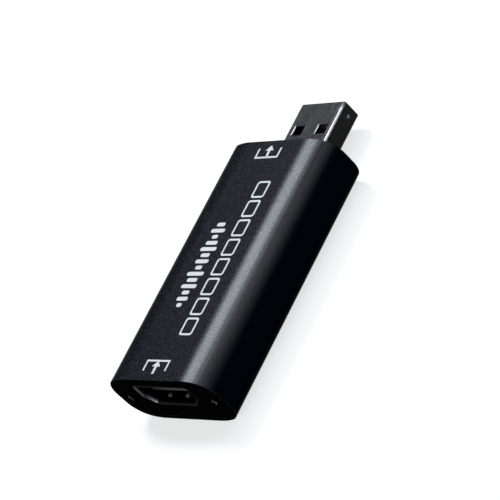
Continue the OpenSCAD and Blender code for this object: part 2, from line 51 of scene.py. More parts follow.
lens = bpy.data.cameras.new("camera")
lens.lens = 182.93
lens.sensor_width = 36
lens.clip_end = 20
camera = bpy.data.objects.new("camera", lens)
camera.matrix_world = Matrix.Translation(CAMERA_PLACE) @ Matrix(CAMERA_AXES).transposed().to_4x4()
scene = bpy.context.scene
scene.collection.objects.link(camera)
scene.camera = camera
scene.view_settings.view_transform = "Standard"

# The studio: a matt white board as the floor, a key lamp behind on the left that draws the line of light
# along the sleeve's shoulder, two soft boxes overhead that fade to the right, a weak reflector low behind on
# the left for the flat faces, a small lamp ahead for the socket, and a dim room all round.
FLOOR_HALF = 4.0
FLOOR_Z = -0.02 * MM
FLOOR_WHITE = (0.35, 0.35, 0.35, 1)
FLOOR_ROUGH = 0.9
FLOOR_LIFT = 0.7
WHITE = (1, 1, 1, 1)
WALLS = 0.1
CEILING = 0.16
# How steeply a direction climbs where the walls end, and where the ceiling begins
WALLS_END = 0.12
CEILING_START = 0.42
AIM = Vector((0, 0, 6 * MM))
DAYLIGHT = (0.86, 0.92, 1.0)
# Each lamp: direction from the stick, distance, width across the sleeve, length along it, power in watts
LAMPS = {
    "key": ((-0.475, 0.385, 0.778), 1.50, 0.47, 0.40, 15.0),
    "box_near": ((-0.185, 0.395, 0.894), 1.75, 0.62, 0.38, 7.0),
    "box_far": ((0.575, 0.405, 0.706), 1.75, 3.40, 0.34, 20.5),
    "reflector": ((-0.733, 0.406, 0.546), 0.70, 0.34, 0.50, 0.025),
    "front": ((0.224, -0.811, 0.542), 0.70, 0.20, 0.20, 1.1),
}


def add(tree, kind, inputs=None, **settings):
    """Adds a node to a tree, with its settings, and with its inputs set to values or linked to sockets."""
    made = tree.nodes.new(kind)
    for name, value in settings.items():
        setattr(made, name, value)
    for name, value in (inputs or {}).items():
        if isinstance(value, bpy.types.NodeSocket):
            tree.links.new(value, made.inputs[name])
        else:
            made.inputs[name].default_value = value
    return made


def calculate(tree, operation, *values, clamp=False):
    """The result of one sum on values or sockets."""
    made = add(tree, "ShaderNodeMath", dict(enumerate(values)), operation=operation, use_clamp=clamp)
    return made.outputs[0]


def feed(tree, surface, **sockets):
    """Links sockets to the shader's inputs of those names, with spaces for underlines."""
    for name, socket in sockets.items():
        tree.links.new(socket, surface.inputs[name.replace("_", " ")])


def fix(surface, **values):
    """Sets values on the shader's own inputs, with spaces for underlines."""
    for name, value in values.items():
        surface.inputs[name.replace("_", " ")].default_value = value


def shader(name):
    """A new material, its tree and its one principled shader."""
    material = bpy.data.materials.new(name)
    material.use_nodes = True
    return material, material.node_tree, material.node_tree.nodes["Principled BSDF"]


def seen_directly(tree):
    """1 for the rays that show the studio itself: camera, mirror-like and see-through ones."""
    path = add(tree, "ShaderNodeLightPath").outputs
    pair = calculate(tree, "MAXIMUM", path["Is Camera Ray"], path["Is Glossy Ray"])
    return calculate(tree, "MAXIMUM", pair, path["Is Transmission Ray"])


def set_up_floor():
    material, tree, surface = shader("floor_white")
    fix(surface, Base_Color=FLOOR_WHITE, Roughness=FLOOR_ROUGH, Specular_IOR_Level=0.0, Emission_Color=WHITE)
    feed(tree, surface, Emission_Strength=calculate(tree, "MULTIPLY", seen_directly(tree), FLOOR_LIFT))
    mesh = bpy.data.meshes.new("floor")
    corners = [(x * FLOOR_HALF, y * FLOOR_HALF, FLOOR_Z) for x, y in ((-1, -1), (1, -1), (1, 1), (-1, 1))]
    mesh.from_pydata(corners, [], [(0, 1, 2, 3)])
    mesh.materials.append(material)
    floor = bpy.data.objects.new("floor", mesh)
    scene.collection.objects.link(floor)


def set_up_room():
    scene.world = bpy.data.worlds.new("room")
    scene.world.use_nodes = True
    tree = scene.world.node_tree
    direction = add(tree, "ShaderNodeTexCoord").outputs["Generated"]
    climb = add(tree, "ShaderNodeSeparateXYZ", {0: direction}).outputs["Z"]
    strength = add(tree, "ShaderNodeMapRange",
                   {0: climb, 1: WALLS_END, 2: CEILING_START, 3: WALLS, 4: CEILING})
    background = tree.nodes["Background"]
    background.inputs["Color"].default_value = WHITE
    tree.links.new(strength.outputs[0], background.inputs["Strength"])


def set_up_lamps():
    for name, (towards, distance, across, along, power) in LAMPS.items():
        light = bpy.data.lights.new(name, "AREA")
        light.shape = "RECTANGLE"
        light.size = across
        light.size_y = along
        light.energy = power
        light.color = DAYLIGHT
        back = Vector(towards).normalized()
        side = Vector((0, 1, 0)).cross(back).normalized()
        axes = Matrix((side, back.cross(side), back)).transposed().to_4x4()
        lamp = bpy.data.objects.new(name, light)
        lamp.matrix_world = Matrix.Translation(AIM + back * distance) @ axes
        scene.collection.objects.link(lamp)


set_up_floor()
set_up_room()
set_up_lamps()


# The board that everything is soldered to: glass cloth in resin, coated green, routed from a panel,
# so its edges show the bare yellowish resin. Hidden copper runs raise the coat a little.
def shared_effect(name, inputs, outputs):
    """A node group with float inputs and float outputs: its tree, its input sockets and its output node."""
    tree = bpy.data.node_groups.new(name, "ShaderNodeTree")
    for socket, value in inputs.items():
        made = tree.interface.new_socket(name=socket, in_out="INPUT", socket_type="NodeSocketFloat")
        made.default_value = value
    for socket in outputs:
        tree.interface.new_socket(name=socket, in_out="OUTPUT", socket_type="NodeSocketFloat")
    return tree, tree.nodes.new("NodeGroupInput").outputs, tree.nodes.new("NodeGroupOutput")


def position(tree):
    """Place on the piece, in metres."""
    return add(tree, "ShaderNodeTexCoord").outputs["Object"]


def fineness(tree, size):
    """Scale of a texture whose features have a size in millimetres."""
    return calculate(tree, "DIVIDE", 1 / MM, size)


def rise(tree, value, start, end, ease="LINEAR"):
    """0 up to where a value is at its start, 1 from where it is at its end; the end may be the lower."""
    return add(tree, "ShaderNodeMapRange", {0: value, 1: start, 2: end}, interpolation_type=ease).outputs[0]


def make_grain():
    """Fine speckle of the given size in millimetres, from 0 to 1 about 0.5, harder with more contrast."""
    tree, given, result = shared_effect("grain", {"Size": 0.3, "Contrast": 2.0}, ["Speckle"])
    noise = add(tree, "ShaderNodeTexNoise", {"Vector": position(tree), "Scale": fineness(tree, given["Size"]),
                                             "Detail": 3.0, "Roughness": 0.65})
    above = calculate(tree, "SUBTRACT", noise.outputs[0], 0.5)
    speckle = calculate(tree, "MULTIPLY_ADD", above, given["Contrast"], 0.5, clamp=True)
    tree.links.new(speckle, result.inputs["Speckle"])
    return tree


def make_edge_rub():
    """Mask of the edges within the given width in millimetres, broken up so that the rub is uneven."""
    tree, given, result = shared_effect("edge_rub", {"Width": 0.2, "Reach": 1.0}, ["Mask"])
    width = calculate(tree, "MULTIPLY", given["Width"], MM)
    rounded = add(tree, "ShaderNodeBevel", {"Radius": width}, samples=6)
    flat = add(tree, "ShaderNodeNewGeometry").outputs["Normal"]
    same = add(tree, "ShaderNodeVectorMath", {0: rounded.outputs[0], 1: flat}, operation="DOT_PRODUCT")
    apart = rise(tree, same.outputs["Value"], 0.995, 0.85)
    patch = add(tree, "ShaderNodeTexNoise", {"Vector": position(tree), "Scale": 0.9 / MM, "Detail": 4.0})
    uneven = rise(tree, patch.outputs[0], 0.35, 0.65)
    both = calculate(tree, "MULTIPLY", apart, uneven)
    mask = calculate(tree, "MULTIPLY", both, given["Reach"], clamp=True)
    tree.links.new(mask, result.inputs["Mask"])
    return tree


def make_handling():
    """Broad soft marks, such as handling leaves, of the given size in millimetres."""
    tree, given, result = shared_effect("handling", {"Size": 6.0}, ["Marks"])
    noise = add(tree, "ShaderNodeTexNoise", {"Vector": position(tree), "Scale": fineness(tree, given["Size"]),
                                             "Detail": 4.0, "Roughness": 0.6, "Distortion": 0.6})
    tree.links.new(rise(tree, noise.outputs[0], 0.3, 0.7), result.inputs["Marks"])
    return tree


GRAIN = make_grain()
EDGE_RUB = make_edge_rub()
HANDLING = make_handling()


def effect(tree, group, **values):
    """Places a shared effect in a material with its own values, and gives its output."""
    made = add(tree, "ShaderNodeGroup", node_tree=group)
    for name, value in values.items():
        made.inputs[name].default_value = value
    return made.outputs[0]


def between(tree, mask, low, high):
    """A value that goes from low to high with a mask."""
    return add(tree, "ShaderNodeMapRange", {0: mask, 3: low, 4: high}).outputs[0]


def tint(tree, mask, dark, light):
    """A colour that goes from dark to light with a mask; either may be a socket."""
    ends = {key: value if isinstance(value, bpy.types.NodeSocket) else (*value, 1)
            for key, value in ((6, dark), (7, light))}
    return add(tree, "ShaderNodeMix", {0: mask, **ends}, data_type="RGBA").outputs[2]


def raise_surface(tree, surface, height, depth, strength=1.0):
    """Bumps a surface by a height map; depth is in millimetres."""
    bump = add(tree, "ShaderNodeBump", {"Height": height, "Distance": depth * MM, "Strength": strength})
    feed(tree, surface, Normal=bump.outputs[0])


def dress(material, *names):
    """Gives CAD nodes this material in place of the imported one."""
    for name in names:
        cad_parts[name].material_slots[0].material = material


def board_finish():
    material, tree, surface = shader("board_green")
    face = add(tree, "ShaderNodeSeparateXYZ", {0: add(tree, "ShaderNodeNewGeometry").outputs["True Normal"]})
    level = calculate(tree, "ABSOLUTE", face.outputs["Z"])
    runs = add(tree, "ShaderNodeTexBrick",
               {"Vector": position(tree), "Scale": 0.32 / MM, "Mortar Size": 0.06})
    coat = tint(tree, runs.outputs["Fac"], (0.012, 0.075, 0.03), (0.03, 0.15, 0.06))
    cloth = tint(tree, effect(tree, GRAIN, Size=0.2, Contrast=3.0), (0.30, 0.24, 0.10), (0.44, 0.37, 0.18))
    feed(tree, surface, Base_Color=tint(tree, level, cloth, coat))
    feed(tree, surface, Roughness=between(tree, effect(tree, HANDLING, Size=5.0), 0.28, 0.45))
    raise_surface(tree, surface, runs.outputs["Fac"], 0.02, 0.4)
    dress(material, "main_board")


board_finish()


# Moulded, pressed and fired pieces: chip bodies, surge arrays and resistors in black epoxy, the connectors'
# insulators in glass-filled resin, beads of ferrite, capacitors and the crystal's base of ceramic.
# All have a fine grain, and their edges are rubbed a little.
def moulding(name, dark, light, rough, size, depth, *nodes):
    material, tree, surface = shader(name)
    speckle = effect(tree, GRAIN, Size=size, Contrast=2.5)
    body = tint(tree, speckle, dark, light)
    rubbed = effect(tree, EDGE_RUB, Width=0.12, Reach=0.5)
    feed(tree, surface, Base_Color=tint(tree, rubbed, body, (0.09, 0.09, 0.09)))
    feed(tree, surface, Roughness=between(tree, speckle, *rough))
    fix(surface, Specular_IOR_Level=0.35)
    raise_surface(tree, surface, speckle, depth)
    dress(material, *nodes)


moulding("chip_epoxy", (0.010, 0.010, 0.011), (0.024, 0.024, 0.026), (0.5, 0.7), 0.12, 0.008,
         "capture_chip", "memory_chip", "regulators", "surge_arrays", "resistors")
moulding("insulator_black", (0.006, 0.006, 0.007), (0.013, 0.013, 0.014), (0.38, 0.55), 0.15, 0.008,
         "socket_insulator")
moulding("insulator_grey", (0.07, 0.07, 0.07), (0.10, 0.10, 0.10), (0.38, 0.55), 0.15, 0.008,
         "plug_insulator")
moulding("bead_grey", (0.05, 0.05, 0.055), (0.09, 0.09, 0.095), (0.5, 0.7), 0.1, 0.01, "ferrite_beads")
moulding("capacitor_tan", (0.20, 0.13, 0.07), (0.30, 0.21, 0.12), (0.4, 0.6), 0.1, 0.006, "capacitors")
moulding("crystal_ceramic", (0.30, 0.29, 0.27), (0.42, 0.41, 0.39), (0.45, 0.6), 0.12, 0.006, "crystal_base")


# Bright metal on the board: tinned leads and chip ends, solder on the legs, gilded contact blades.
# Tin is dull and slightly crystalline, solder flows smooth, and the gilding is thin over nickel.
def plating(name, dark, light, rough, size, *nodes):
    material, tree, surface = shader(name)
    speckle = effect(tree, GRAIN, Size=size, Contrast=2.0)
    marks = effect(tree, HANDLING, Size=1.5)
    feed(tree, surface, Base_Color=tint(tree, marks, dark, light))
    feed(tree, surface, Roughness=between(tree, speckle, *rough))
    fix(surface, Metallic=1.0)
    raise_surface(tree, surface, speckle, 0.003)
    dress(material, *nodes)


plating("tin", (0.42, 0.42, 0.41), (0.60, 0.60, 0.58), (0.25, 0.42), 0.15,
        "capture_chip_leads", "memory_chip_leads", "regulator_leads", "chip_ends", "leg_solder")
plating("gilding", (0.34, 0.22, 0.07), (0.50, 0.34, 0.13), (0.16, 0.3), 0.2,
        "socket_contacts_upper", "socket_contacts_lower", "plug_contacts")


# The socket's shell, its spring fingers and the crystal's lid: stamped from thin rolled steel strip, nickel
# plated. The shell is dark where nothing rubs it and paler along its lip; its faces that look along the
# stick, the sheet's cut edges at the mouth among them, carry a painted shade, near black.
# The fingers are rubbed bright along their middles, where a plug's shell slides.
ROLLING_PITCH = 0.12
# Distances in from the socket's mouth to which the lip is rubbed bare, and from which it is dark
LIP_BARE = 0.12 * MM
LIP_DARK = 0.26 * MM
SOCKET_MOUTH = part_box("socket_shell")[0].y
# A finger's middle from the socket's, and distances from it where the rub is full and where it ends
FINGER_X = 2.45 * MM
RUB_FULL = 0.2 * MM
RUB_END = 0.65 * MM
SHELL_EDGE_ROUND = 0.1
SHARP_TURN = math.radians(32)
WELD_GAP = 0.0005 * MM
GRAZING_NICKEL = (0.5, 0.5, 0.5, 1)


def make_rolling():
    """Faint lines along the stick, as rolling leaves on strip, at the given pitch in millimetres."""
    tree, given, result = shared_effect("rolling", {"Pitch": ROLLING_PITCH}, ["Lines"])
    drawn_out = add(tree, "ShaderNodeVectorMath", {0: position(tree), 1: (1.0, 0.03, 1.0)},
                    operation="MULTIPLY")
    noise = add(tree, "ShaderNodeTexNoise", {"Vector": drawn_out.outputs[0],
                                             "Scale": fineness(tree, given["Pitch"]), "Detail": 2.0})
    tree.links.new(rise(tree, noise.outputs[0], 0.3, 0.7), result.inputs["Lines"])
    return tree


ROLLING = make_rolling()


def position_along(tree, axis):
    """Place on the piece along one axis, in metres."""
    return add(tree, "ShaderNodeSeparateXYZ", {0: position(tree)}).outputs[axis]


def facing(tree, axis):
    """How squarely the surface faces along an axis, 0 to 1."""
    normal = add(tree, "ShaderNodeSeparateXYZ", {0: add(tree, "ShaderNodeNewGeometry").outputs["Normal"]})
    return calculate(tree, "ABSOLUTE", normal.outputs[axis])


def nickel(name, dark, light, worn, rough, *nodes):
    material, tree, surface = shader(name)
    lines = effect(tree, ROLLING, Pitch=ROLLING_PITCH)
    marks = effect(tree, HANDLING, Size=4.0)
    # Painted shade: faces that look along the stick are tinted near black in place of the floor they would
    # mirror.
    painted_end_shade = rise(tree, facing(tree, "Y"), 0.8, 0.95)
    lip = rise(tree, position_along(tree, "Y"), SOCKET_MOUTH + LIP_DARK, SOCKET_MOUTH + LIP_BARE)
    plate = tint(tree, lip, tint(tree, marks, dark, light), worn)
    feed(tree, surface, Base_Color=tint(tree, painted_end_shade, plate, (0.002, 0.002, 0.002)))
    blurred = calculate(tree, "MULTIPLY", lines, marks)
    feed(tree, surface, Roughness=between(tree, blurred, *rough))
    fix(surface, Metallic=1.0, Specular_Tint=GRAZING_NICKEL)
    raise_surface(tree, surface, lines, 0.002)
    dress(material, *nodes)


def soften(name, width):
    """Rounds a CAD node's sharp edges by a width in millimetres, as tumbling or plating does."""
    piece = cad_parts[name]
    piece.modifiers.new("join", "WELD").merge_threshold = WELD_GAP
    bevel = piece.modifiers.new("round", "BEVEL")
    bevel.width = width * MM
    bevel.segments = 2
    bevel.limit_method = "ANGLE"
    bevel.angle_limit = SHARP_TURN
    bevel.use_clamp_overlap = True
    piece.modifiers.new("shade", "WEIGHTED_NORMAL").weight = 100


def finger_finish():
    """The fingers' nickel, rubbed bright along the middle of each."""
    material, tree, surface = shader("finger_nickel")
    aside = calculate(tree, "ABSOLUTE", position_along(tree, "X"))
    off_middle = calculate(tree, "ABSOLUTE", calculate(tree, "SUBTRACT", aside, FINGER_X))
    rubbed = rise(tree, off_middle, RUB_END, RUB_FULL, "SMOOTHSTEP")
    feed(tree, surface, Base_Color=tint(tree, rubbed, (0.02, 0.02, 0.02), (0.34, 0.34, 0.342)))
    feed(tree, surface, Roughness=between(tree, effect(tree, ROLLING, Pitch=ROLLING_PITCH), 0.20, 0.34))
    fix(surface, Metallic=1.0, Specular_Tint=GRAZING_NICKEL)
    dress(material, "finger_upper_left", "finger_upper_right", "finger_lower_left", "finger_lower_right")


nickel("shell_nickel", (0.003, 0.003, 0.0031), (0.007, 0.007, 0.0072), (0.07, 0.07, 0.071), (0.18, 0.30),
       "socket_shell")
nickel("lid_nickel", (0.17, 0.17, 0.172), (0.26, 0.26, 0.262), (0.3, 0.3, 0.3), (0.20, 0.34), "crystal_lid")
soften("socket_shell", SHELL_EDGE_ROUND)
finger_finish()


# The plug's shell: one blank of plated strip, punched with two latch windows above and two below and folded
# round the insulator until its ends meet in a seam underneath. Punching rolls the windows' outer edges over.
# Two ears stand out at the back, on the board, with a leg each.
PLUG_LOW, PLUG_HIGH = (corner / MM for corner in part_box("plug_shell"))
BOARD_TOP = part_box("main_board")[1].z / MM
PLUG_W = 12.1
PLUG_H = 4.55
PLUG_EDGE_R = 0.45
PLUG_SHEET = 0.3
SEAM_W = 0.08
SEAM_ROLL = 0.06
MOUTH_ROLL = 0.12
LATCH_X = 3.2
LATCH_W = 2.5
LATCH_L = 2.1
LATCH_BACK = 5.5
LATCH_ROLL = 0.2
DIMPLE_BACK = 2.0
DIMPLE_R = 0.4
DIMPLE_DEPTH = 0.2
DIMPLE_STEPS = 20
BEND_STEPS = 8
ROLL_STEPS = 6
# Distances back from the mouth at which the plain fold behind the windows is drawn
PLAIN_ROWS = [10.5, 13.6]
EAR_W = 1.3
# Distances from the shell's back to the two sides of an ear
EAR_SIDES = (EAR_W / 2, 1.5 * EAR_W)
EAR_SINK = 0.05
EAR_BEND = 0.2
EAR_BEND_CUT = 0.06
# Distances from the plug's middle where a mating socket begins to rub its flats, and where the rub is full
FLAT_RUB_START = 4.3 * MM
FLAT_RUB_FULL = 5.75 * MM
CREASE = math.radians(30)


def roll_lines(width):
    """Distances from a punched edge, falling to 0, at which its rolled round is drawn."""
    return [width * (1 - math.sin(math.radians(90 * k / ROLL_STEPS))) for k in range(ROLL_STEPS + 1)]


def rolled(away, width):
    """How deep the rolled round lies at a distance from its punched edge."""
    return 0 if away >= width else width - math.sqrt(width ** 2 - (width - away) ** 2)


def pressed(face, across, back):
    """How deep the outside lies under the plain fold, at a place across a face and back from the mouth."""
    depth = rolled(back, MOUTH_ROLL)
    if face in ("low", "high"):
        beside = max(abs(abs(across) - LATCH_X) - LATCH_W / 2, 0)
        ahead = max(abs(back - LATCH_BACK - LATCH_L / 2) - LATCH_L / 2, 0)
        depth = max(depth, rolled(math.hypot(beside, ahead), LATCH_ROLL))
    if face == "low":
        depth = max(depth, rolled(abs(across) - SEAM_W / 2, SEAM_ROLL))
    if face == "side":
        away = min(math.hypot(across, back - DIMPLE_BACK), DIMPLE_R)
        depth = max(depth, DIMPLE_DEPTH * (1 + math.cos(math.pi * away / DIMPLE_R)) / 2)
    return depth


def dimple_lines():
    """Distances from a dimple's middle at which it is drawn."""
    return [2 * DIMPLE_R * (i / DIMPLE_STEPS - 0.5) for i in range(DIMPLE_STEPS + 1)]


def fold_columns():
    """The fold from seam to seam: each place's x and z about the middle, its way out, its face
    and how far across that face it lies."""
    half_w, half_h, r = PLUG_W / 2, PLUG_H / 2, PLUG_EDGE_R
    window = [LATCH_X + LATCH_W / 2 + t for t in roll_lines(LATCH_ROLL)]
    window += [LATCH_X - LATCH_W / 2 - t for t in reversed(roll_lines(LATCH_ROLL))]
    seam = [SEAM_W / 2 + t for t in roll_lines(SEAM_ROLL)]

    def bend(start, side, level):
        turns = [math.radians(start + 90 * i / BEND_STEPS) for i in range(BEND_STEPS + 1)]
        return [(side * (half_w - r) + r * math.cos(t), level * (half_h - r) + r * math.sin(t),
                 math.cos(t), math.sin(t), "bend", 0) for t in turns]

    low = [(x, -half_h, 0, -1, "low", x) for x in list(reversed(seam)) + list(reversed(window))]
    right = [(half_w, z, 1, 0, "side", z) for z in dimple_lines()]
    high = [(x, half_h, 0, 1, "high", x) for x in window + [-x for x in reversed(window)]]
    left = [(-x, -z, -nx, nz, face, -across) for x, z, nx, nz, face, across in right]
    low_left = [(-x, z, nx, nz, face, -across) for x, z, nx, nz, face, across in reversed(low)]
    return (low + bend(-90, 1, -1) + right + bend(0, 1, 1) + high
            + bend(90, -1, 1) + left + bend(180, -1, -1) + low_left)


def fold_rows():
    """Distances back from the mouth at which the fold is drawn."""
    rows = list(reversed(roll_lines(MOUTH_ROLL)))
    rows += [DIMPLE_BACK + t for t in dimple_lines()]
    rows += [LATCH_BACK - t for t in roll_lines(LATCH_ROLL)]
    rows += [LATCH_BACK + LATCH_L + t for t in reversed(roll_lines(LATCH_ROLL))]
    return rows + PLAIN_ROWS + [PLUG_HIGH.y - PLUG_LOW.y]


def in_window(first, second, row, next_row):
    """Whether the cell between two places on the fold and two rows was punched out."""
    flat = first[4] == second[4] and first[4] in ("low", "high")
    beside = abs(abs(first[5] + second[5]) / 2 - LATCH_X) < LATCH_W / 2
    return flat and beside and LATCH_BACK < (row + next_row) / 2 < LATCH_BACK + LATCH_L


def build_ear(shape, side):
    """An ear on the board and its leg through it."""
    root, reach, top = PLUG_W / 2 - EAR_SINK, PLUG_HIGH.x, BOARD_TOP + PLUG_SHEET
    bent = [(root, BOARD_TOP), (root, top), (reach - EAR_BEND, top),
            (reach - EAR_BEND_CUT, top - EAR_BEND_CUT), (reach, top - EAR_BEND), (reach, PLUG_LOW.z),
            (reach - PLUG_SHEET, PLUG_LOW.z), (reach - PLUG_SHEET, BOARD_TOP)]
    ends = [[shape.verts.new(Vector((side * x, PLUG_LOW.y + y, z)) * MM) for x, z in bent]
            for y in EAR_SIDES]
    shape.faces.new(ends[0])
    shape.faces.new(ends[1])
    for i in range(len(bent)):
        shape.faces.new((ends[0][i - 1], ends[0][i], ends[1][i], ends[1][i - 1]))


def build_plug(shape):
    columns, rows = fold_columns(), fold_rows()
    middle = PLUG_HIGH.z - PLUG_H / 2
    cells = [(i, j) for i in range(len(columns) - 1) for j in range(len(rows) - 1)
             if not in_window(columns[i], columns[i + 1], rows[j], rows[j + 1])]
    corners = {(i, j): [(i, j), (i + 1, j), (i + 1, j + 1), (i, j + 1)] for i, j in cells}
    layers = []
    for inside in (False, True):
        made = {}
        for cell in cells:
            for i, j in corners[cell]:
                if (i, j) not in made:
                    x, z, out_x, out_z, face, across = columns[i]
                    depth = PLUG_SHEET if inside else pressed(face, across, rows[j])
                    at = Vector((x - out_x * depth, PLUG_HIGH.y - rows[j], middle + z - out_z * depth))
                    made[i, j] = shape.verts.new(at * MM)
            shape.faces.new([made[corner] for corner in corners[cell]])
        layers.append(made)
    borders = {}
    for ring in corners.values():
        for pair in zip(ring, ring[1:] + ring[:1]):
            key = tuple(sorted(pair))
            borders[key] = borders.get(key, 0) + 1
    for (one, other), faces in borders.items():
        if faces == 1:
            shape.faces.new((layers[0][one], layers[0][other], layers[1][other], layers[1][one]))
    for side in (-1, 1):
        build_ear(shape, side)


def add_piece(name, build, material):
    """A new piece on the case, from a function that fills a bmesh, smooth but for its creases."""
    shape = bmesh.new()
    build(shape)
    bmesh.ops.recalc_face_normals(shape, faces=shape.faces)
    mesh = bpy.data.meshes.new(name)
    shape.to_mesh(mesh)
    shape.free()
    mesh.materials.append(material)
    mesh.shade_smooth()
    mesh.set_sharp_from_angle(angle=CREASE)
    piece = bpy.data.objects.new(name, mesh)
    scene.collection.objects.link(piece)
    shade = piece.modifiers.new("shade", "WEIGHTED_NORMAL")
    shade.weight = 100
    shade.keep_sharp = True
    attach(piece, "case")
    return piece


def plug_finish():
    """Dark nickel, with painted shade: its upright sides are tinted near black, so the flat faces are the
    paler;
    the flats are rubbed paler still towards their long edges, where a socket slides, and the folded edges are
    worn paler.
    """
    material, tree, surface = shader("plug_nickel")
    lines = effect(tree, ROLLING, Pitch=ROLLING_PITCH)
    marks = effect(tree, HANDLING, Size=4.0)
    flat = rise(tree, facing(tree, "Z"), 0.35, 0.8)
    aside = calculate(tree, "ABSOLUTE", position_along(tree, "X"))
    near_edge = rise(tree, aside, FLAT_RUB_START, FLAT_RUB_FULL)
    # Painted shade: the upright sides get a near-black tint, the flats a paler one.
    sides = tint(tree, marks, (0.006, 0.006, 0.0062), (0.009, 0.009, 0.0092))
    flats = tint(tree, marks, (0.086, 0.0845, 0.090), (0.103, 0.101, 0.107))
    flats = tint(tree, near_edge, flats, (0.155, 0.155, 0.158))
    plate = tint(tree, flat, sides, flats)
    squarest = calculate(tree, "MAXIMUM", facing(tree, "X"), facing(tree, "Y"))
    squarest = calculate(tree, "MAXIMUM", squarest, facing(tree, "Z"))
    worn = rise(tree, squarest, 0.99, 0.94)
    feed(tree, surface, Base_Color=tint(tree, worn, plate, (0.17, 0.17, 0.173)))
    feed(tree, surface, Roughness=between(tree, lines, 0.14, 0.22))
    fix(surface, Metallic=1.0)
    raise_surface(tree, surface, lines, 0.0015)
    return material


plug = add_piece("plug_fold", build_plug, plug_finish())
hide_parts("plug_shell")


# The sleeve: aluminium extruded with flat faces and round long edges, sawn to length, its mouths chamfered,
# then blasted and anodised black. Its corners ease out of the flats before they turn into the sides.
SLEEVE_LOW, SLEEVE_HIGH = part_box("sleeve")
SLEEVE_HALF_W = (SLEEVE_HIGH.x - SLEEVE_LOW.x) / 2
SLEEVE_HALF_H = (SLEEVE_HIGH.z - SLEEVE_LOW.z) / 2
EASE_R = 14 * MM
EASE_TURN = math.radians(15)
EASE_STEPS = 8
SIDE_R = 4.85 * MM
SIDE_STEPS = 22
WALL = 1.1 * MM
BORE_R = 4.4 * MM
RIM = 0.1 * MM
STATIONS = 28


def quarter_arc(centre_x, centre_z, radius, start, end, steps):
    """Points of an arc whose angle is measured from straight up towards +X."""
    turns = [start + (end - start) * i / steps for i in range(steps + 1)]
    return [(centre_x + radius * math.sin(t), centre_z + radius * math.cos(t)) for t in turns]


def four_corners(quarter):
    """A closed outline from the points of its upper right corner, given from the top to the side."""
    right_low = [(x, -z) for x, z in reversed(quarter)]
    left_low = [(-x, -z) for x, z in quarter]
    left_up = [(-x, z) for x, z in reversed(quarter)]
    return quarter + right_low + left_low + left_up


def sleeve_outline(inset):
    """Outline of the sleeve's outside, drawn in by an inset."""
    reach = EASE_R * math.sin(EASE_TURN) + SIDE_R * (1 - math.sin(EASE_TURN))
    ease_x = SLEEVE_HALF_W - reach
    ease_z = SLEEVE_HALF_H - EASE_R
    side_x = ease_x + (EASE_R - SIDE_R) * math.sin(EASE_TURN)
    side_z = ease_z + (EASE_R - SIDE_R) * math.cos(EASE_TURN)
    first = quarter_arc(ease_x, ease_z, EASE_R - inset, 0, EASE_TURN, EASE_STEPS)
    second = quarter_arc(side_x, side_z, SIDE_R - inset, EASE_TURN, math.pi / 2, SIDE_STEPS)
    return four_corners(first + second[1:])


def bore_outline():
    """Outline of the sleeve's bore, with as many points as its outside."""
    x = SLEEVE_HALF_W - WALL - BORE_R
    z = SLEEVE_HALF_H - WALL - BORE_R
    first = quarter_arc(x, z, BORE_R, 0, EASE_TURN, EASE_STEPS)
    second = quarter_arc(x, z, BORE_R, EASE_TURN, math.pi / 2, SIDE_STEPS)
    return four_corners(first + second[1:])


def build_sleeve(shape):
    middle = SLEEVE_LOW.z + SLEEVE_HALF_H
    near, far = SLEEVE_LOW.y, SLEEVE_HIGH.y
    run = [near + RIM + (far - near - 2 * RIM) * i / STATIONS for i in range(STATIONS + 1)]
    rings = [(near, sleeve_outline(RIM))]
    rings += [(y, sleeve_outline(0)) for y in run]
    rings += [(far, sleeve_outline(RIM)), (far, bore_outline())]
    rings += [(y, bore_outline()) for y in reversed(run)]
    rings += [(near, bore_outline())]
    made = [[shape.verts.new((x, y, middle + z)) for x, z in outline] for y, outline in rings]
    for ring, following in zip(made, made[1:] + made[:1]):
        for i in range(len(ring)):
            face = shape.faces.new((ring[i - 1], ring[i], following[i], following[i - 1]))
            face.material_index = int(ring[0].co.y == following[0].co.y)


def make_glint_grains():
    """Scattered grains of the given size in millimetres, few of them bright, used as painted glints on the
    sleeve's level faces.
    """
    tree, given, result = shared_effect("facets", {"Size": 0.3}, ["Grains"])
    cells = add(tree, "ShaderNodeTexVoronoi",
                {"Vector": position(tree), "Scale": fineness(tree, given["Size"])})
    chance = add(tree, "ShaderNodeSeparateColor", {0: cells.outputs["Color"]}).outputs[0]
    bright = calculate(tree, "POWER", chance, 2.0)
    inside = rise(tree, cells.outputs["Distance"], 0.7, 0.25, "SMOOTHSTEP")
    tree.links.new(calculate(tree, "MULTIPLY", bright, inside), result.inputs["Grains"])
    return tree


GLINT_GRAINS = make_glint_grains()


